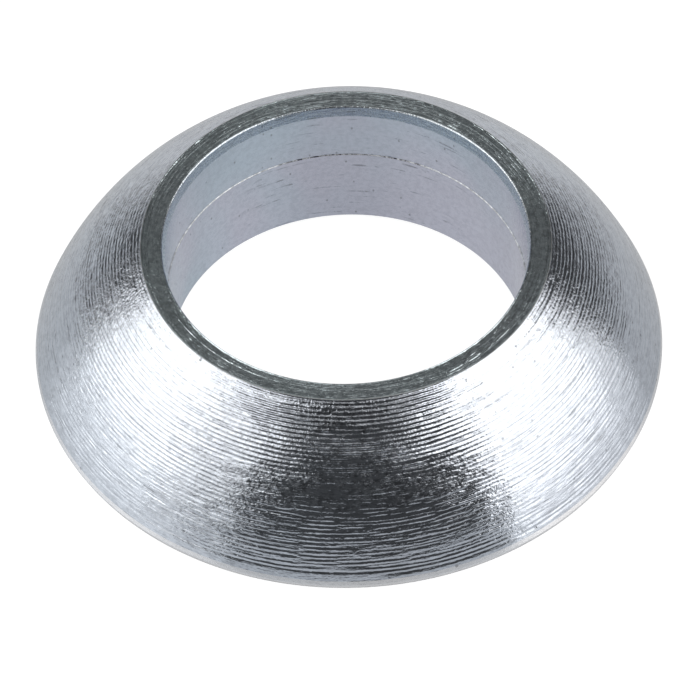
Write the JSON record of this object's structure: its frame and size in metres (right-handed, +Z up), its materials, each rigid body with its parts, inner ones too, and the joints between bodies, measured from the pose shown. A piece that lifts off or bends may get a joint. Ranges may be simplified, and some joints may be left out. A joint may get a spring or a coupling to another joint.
{
  "type": "spherical washer",
  "caption": "Round steel washer with a flat base, a straight low rim, a convex spherical seating face, a flat top ring and a plain central bore.",
  "frame": {"origin": "on the bore axis, in the plane of the flat base", "axes": "+Z up along the bore axis, from the flat base to the flat top ring"},
  "size_m": [0.036, 0.036, 0.0093],
  "materials": {
    "zinc_plate": "turned steel with a clear blue-tinted zinc plating, fine turning marks round the axis"
  },
  "bodies": {
    "root": {"spherical_washer": "zinc_plate"}
  },
  "joints": []
}
